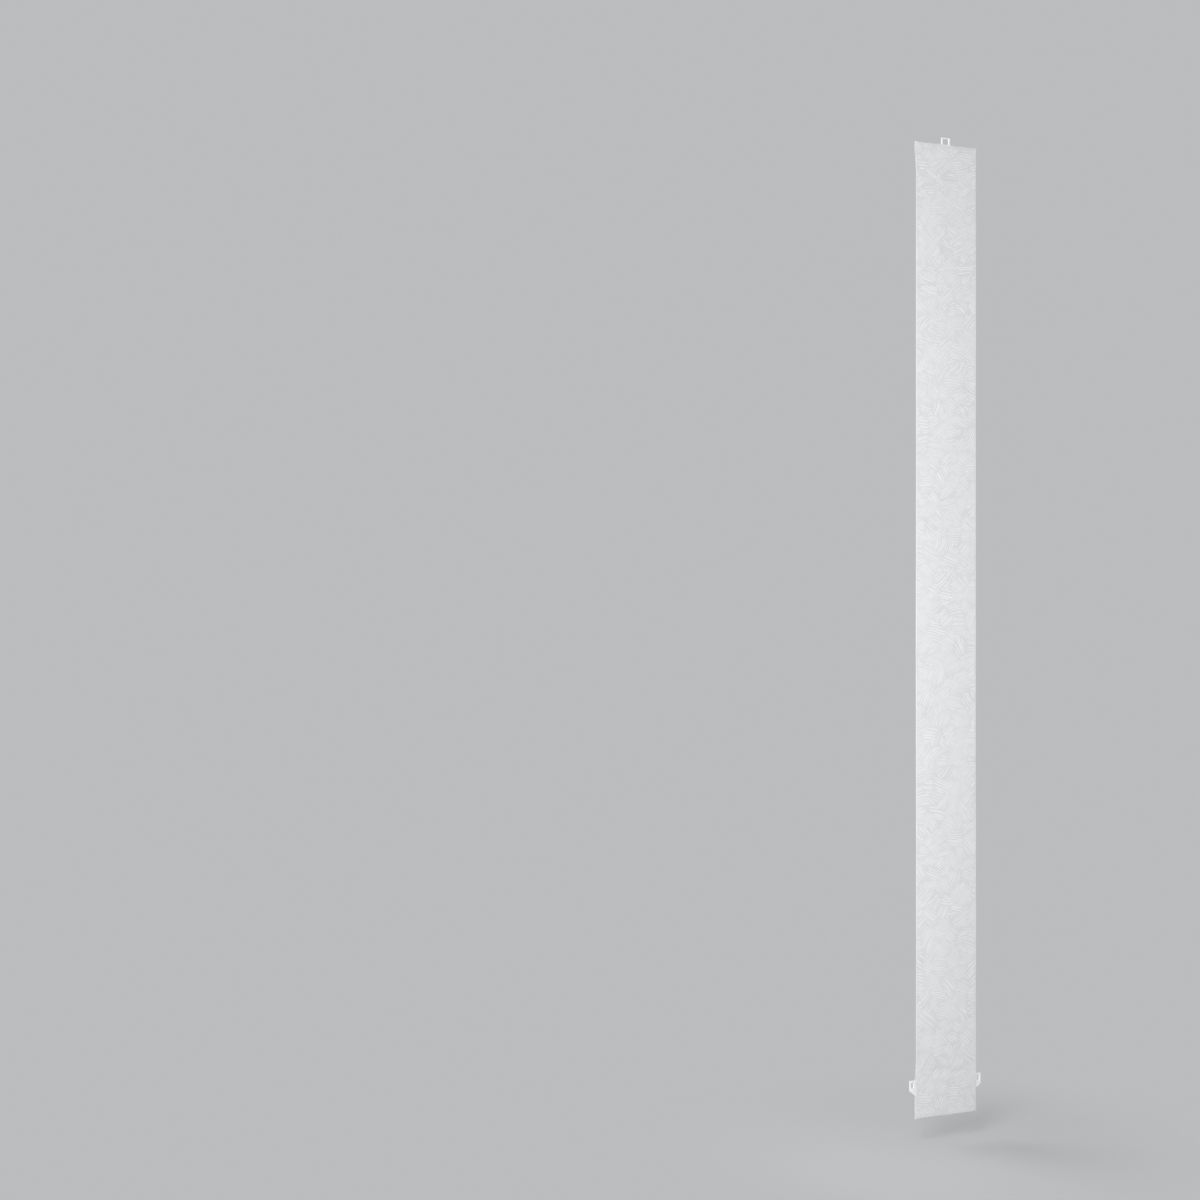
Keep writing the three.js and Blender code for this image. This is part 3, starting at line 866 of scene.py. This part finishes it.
def backdrop_material(stage):
    """The floor: matt near the louvre, where its shadow falls, fading with distance into a plain glow
    of the backdrop's colour, so that no horizon shows."""
    near, far = 0.05, 0.36
    made = Nodes("pale_floor")
    where = made.add("ShaderNodeTexCoord").outputs["Object"]
    flat = made.add("ShaderNodeVectorMath", operation="MULTIPLY")
    made.join(where, flat.inputs[0])
    flat.inputs[1].default_value = (1, 1, 0)
    size = made.add("ShaderNodeVectorMath", operation="LENGTH")
    made.join(flat.outputs[0], size.inputs[0])
    fade = made.ranged(size.outputs["Value"], near, far, 0, 1)
    made.shader.inputs["Base Color"].default_value = (*stage.backdrop, 1)
    made.shader.inputs["Roughness"].default_value = 0.9
    made.shader.inputs["Specular IOR Level"].default_value = 0.1
    glow = made.add("ShaderNodeEmission")
    glow.inputs["Color"].default_value = (*stage.backdrop, 1)
    mix = made.add("ShaderNodeMixShader")
    made.join(fade, mix.inputs[0])
    made.join(made.shader.outputs[0], mix.inputs[1])
    made.join(glow.outputs[0], mix.inputs[2])
    made.join(mix.outputs[0], made.tree.nodes["Material Output"].inputs["Surface"])
    return made.material


class LOUVRE_OT_cloth(bpy.types.Operator):
    """Makes the folded and welded cloth, and the strokes woven into both its faces"""

    bl_idname = "louvre.cloth"
    bl_label = "Cloth"

    def execute(self, context):
        cloth = context.scene.louvre_cloth
        strip = Strip(cloth)
        weave = weave_material(cloth, strip.length)
        satin = satin_material(cloth, strip.length)
        piece = make_cloth(strip, weave)
        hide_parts("fabric_slat")
        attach(piece, "root")

        def show_face(x, s):
            """True where the outer face is bare of folds, welds, the notch and the cut edges."""
            near_notch = (np.abs(s - strip.top_crest) < 5 * MM) & (np.abs(x) < NECK_HALF + 2 * MM)
            clear = (np.abs(x) < HALF_WIDTH - EDGE_MARGIN) & (strip.from_crest(s) > 3.6 * MM)
            hem = cloth.hem_tail + cloth.weld_width + 0.8 * MM
            return clear & ~near_notch & (strip.from_end(s) > hem)

        def back_face(x, s):
            """True where the inner face shows: the web between the two hems."""
            _, z = strip.place(s)
            hem = cloth.weld_width + cloth.hem_tail + 1 * MM
            below_top = z < TOP_FOLD - cloth.top_pocket - hem
            above_bottom = z > BOTTOM_FOLD + cloth.bottom_pocket + hem
            return (np.abs(x) < HALF_WIDTH - EDGE_MARGIN) & below_top & above_bottom

        front = make_strokes("woven_strokes_front", strip, stroke_lines(strip, show_face), 1, satin)
        back = make_strokes("woven_strokes_back", strip, stroke_lines(strip, back_face), -1, satin)
        for strokes in (front, back):
            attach(strokes, "root")
        return {"FINISHED"}


class LOUVRE_OT_mouldings(bpy.types.Operator):
    """Gives the hanger and the weight the finish of white moulded plastic"""

    bl_idname = "louvre.mouldings"
    bl_label = "Mouldings"

    def execute(self, context):
        moulding = context.scene.louvre_moulding
        for node in ("top_hanger", "bottom_weight"):
            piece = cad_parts[node]
            piece.data.materials.clear()
            piece.data.materials.append(moulding_material(node + "_plastic", moulding))
        return {"FINISHED"}


class LOUVRE_OT_stage(bpy.types.Operator):
    """Makes the pale floor, the soft light and the camera"""

    bl_idname = "louvre.stage"
    bl_label = "Stage"

    def execute(self, context):
        scene = context.scene
        stage = scene.louvre_stage
        corners = np.array([(-1, -1, 0), (1, -1, 0), (1, 1, 0), (-1, 1, 0)])
        points = corners * FLOOR_REACH + (0, 0, BOTTOM_FOLD - stage.floor_gap)
        floor = new_mesh("floor", points, [(0, 1, 2, 3)], backdrop_material(stage))
        self.light_world(scene, stage)
        for lamp in LAMPS:
            self.add_lamp(scene, *lamp)
        self.add_camera(scene, stage)
        scene.view_settings.view_transform = "Standard"
        return {"FINISHED"}

    def light_world(self, scene, stage):
        """An even white sky. Seen straight, in gloss or through something, it is the backdrop's
        colour."""
        world = bpy.data.worlds.new("studio")
        scene.world = world
        world.use_nodes = True
        tree = world.node_tree
        tree.nodes.clear()
        path = tree.nodes.new("ShaderNodeLightPath")
        seen = tree.nodes.new("ShaderNodeMath")
        seen.operation = "MAXIMUM"
        tree.links.new(path.outputs["Is Camera Ray"], seen.inputs[0])
        gloss = tree.nodes.new("ShaderNodeMath")
        gloss.operation = "MAXIMUM"
        tree.links.new(path.outputs["Is Glossy Ray"], gloss.inputs[0])
        tree.links.new(path.outputs["Is Transmission Ray"], gloss.inputs[1])
        tree.links.new(gloss.outputs[0], seen.inputs[1])
        sky = tree.nodes.new("ShaderNodeBackground")
        sky.inputs["Color"].default_value = (1.0, 1.0, 1.0, 1)
        sky.inputs["Strength"].default_value = stage.sky
        shown = tree.nodes.new("ShaderNodeBackground")
        shown.inputs["Color"].default_value = (*stage.backdrop, 1)
        mix = tree.nodes.new("ShaderNodeMixShader")
        output = tree.nodes.new("ShaderNodeOutputWorld")
        tree.links.new(seen.outputs[0], mix.inputs[0])
        tree.links.new(sky.outputs[0], mix.inputs[1])
        tree.links.new(shown.outputs[0], mix.inputs[2])
        tree.links.new(mix.outputs[0], output.inputs[0])

    def add_lamp(self, scene, name, place, size, power, colour):
        """A soft lamp of a width and height, at a place given from the louvre's middle, pointed at
        it."""
        lamp = bpy.data.lights.new(name, "AREA")
        lamp.shape = "RECTANGLE"
        lamp.size, lamp.size_y = size
        lamp.energy = power
        lamp.color = colour
        holder = bpy.data.objects.new(name, lamp)
        middle = np.array([0, 0, (TOP_FOLD + BOTTOM_FOLD) / 2])
        holder.location = middle + place
        toward = -np.array(place) / np.linalg.norm(place)
        holder.rotation_euler = Matrix(look_along(toward)).to_euler()
        holder.visible_camera = False
        scene.collection.objects.link(holder)

    def add_camera(self, scene, stage):
        """A level camera, placed so that the louvre's middle lies its side step to the right of the
        axis and its distance ahead."""
        forward = np.array([math.sin(stage.turn), math.cos(stage.turn), 0])
        right = np.array([math.cos(stage.turn), -math.sin(stage.turn), 0])
        place = -right * stage.side_step - forward * stage.distance
        place[2] = -stage.eye_drop
        camera = bpy.data.cameras.new("camera")
        camera.lens = stage.lens
        camera.sensor_width = SENSOR_WIDTH
        camera.clip_start, camera.clip_end = CLIP_RANGE
        holder = bpy.data.objects.new("camera", camera)
        holder.location = place
        holder.rotation_euler = Matrix(look_along(forward)).to_euler()
        scene.collection.objects.link(holder)
        scene.camera = holder


def look_along(forward):
    """Rows of the turn that points an object's -Z along forward, with its Y as upright as it can be."""
    right = np.cross(forward, (0, 0, 1))
    right = right / np.linalg.norm(right)
    up = np.cross(right, forward)
    return np.stack([right, up, -np.array(forward)], axis=-1).tolist()


class LOUVRE_PT_panel(bpy.types.Panel):
    """Lists the louvre's settings and the steps that make it"""

    bl_idname = "LOUVRE_PT_panel"
    bl_label = "Louvre"
    bl_space_type = "VIEW_3D"
    bl_region_type = "UI"
    bl_category = "Louvre"

    def draw(self, context):
        layout = self.layout
        for operator in (LOUVRE_OT_cloth, LOUVRE_OT_mouldings, LOUVRE_OT_stage):
            layout.operator(operator.bl_idname)
        for settings in ("louvre_cloth", "louvre_moulding", "louvre_stage"):
            box = layout.box()
            group = getattr(context.scene, settings)
            for key in group.__annotations__:
                box.prop(group, key)


CLASSES = (
    ClothSettings, MouldingSettings, StageSettings,
    LOUVRE_OT_cloth, LOUVRE_OT_mouldings, LOUVRE_OT_stage, LOUVRE_PT_panel,
)


def register():
    for made in CLASSES:
        bpy.utils.register_class(made)
    bpy.types.Scene.louvre_cloth = bpy.props.PointerProperty(type=ClothSettings)
    bpy.types.Scene.louvre_moulding = bpy.props.PointerProperty(type=MouldingSettings)
    bpy.types.Scene.louvre_stage = bpy.props.PointerProperty(type=StageSettings)


def unregister():
    del bpy.types.Scene.louvre_cloth
    del bpy.types.Scene.louvre_moulding
    del bpy.types.Scene.louvre_stage
    for made in reversed(CLASSES):
        bpy.utils.unregister_class(made)


def main():
    register()
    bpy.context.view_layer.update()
    bpy.ops.louvre.cloth()
    bpy.ops.louvre.mouldings()
    bpy.ops.louvre.stage()


if __name__ == "__main__":
    main()
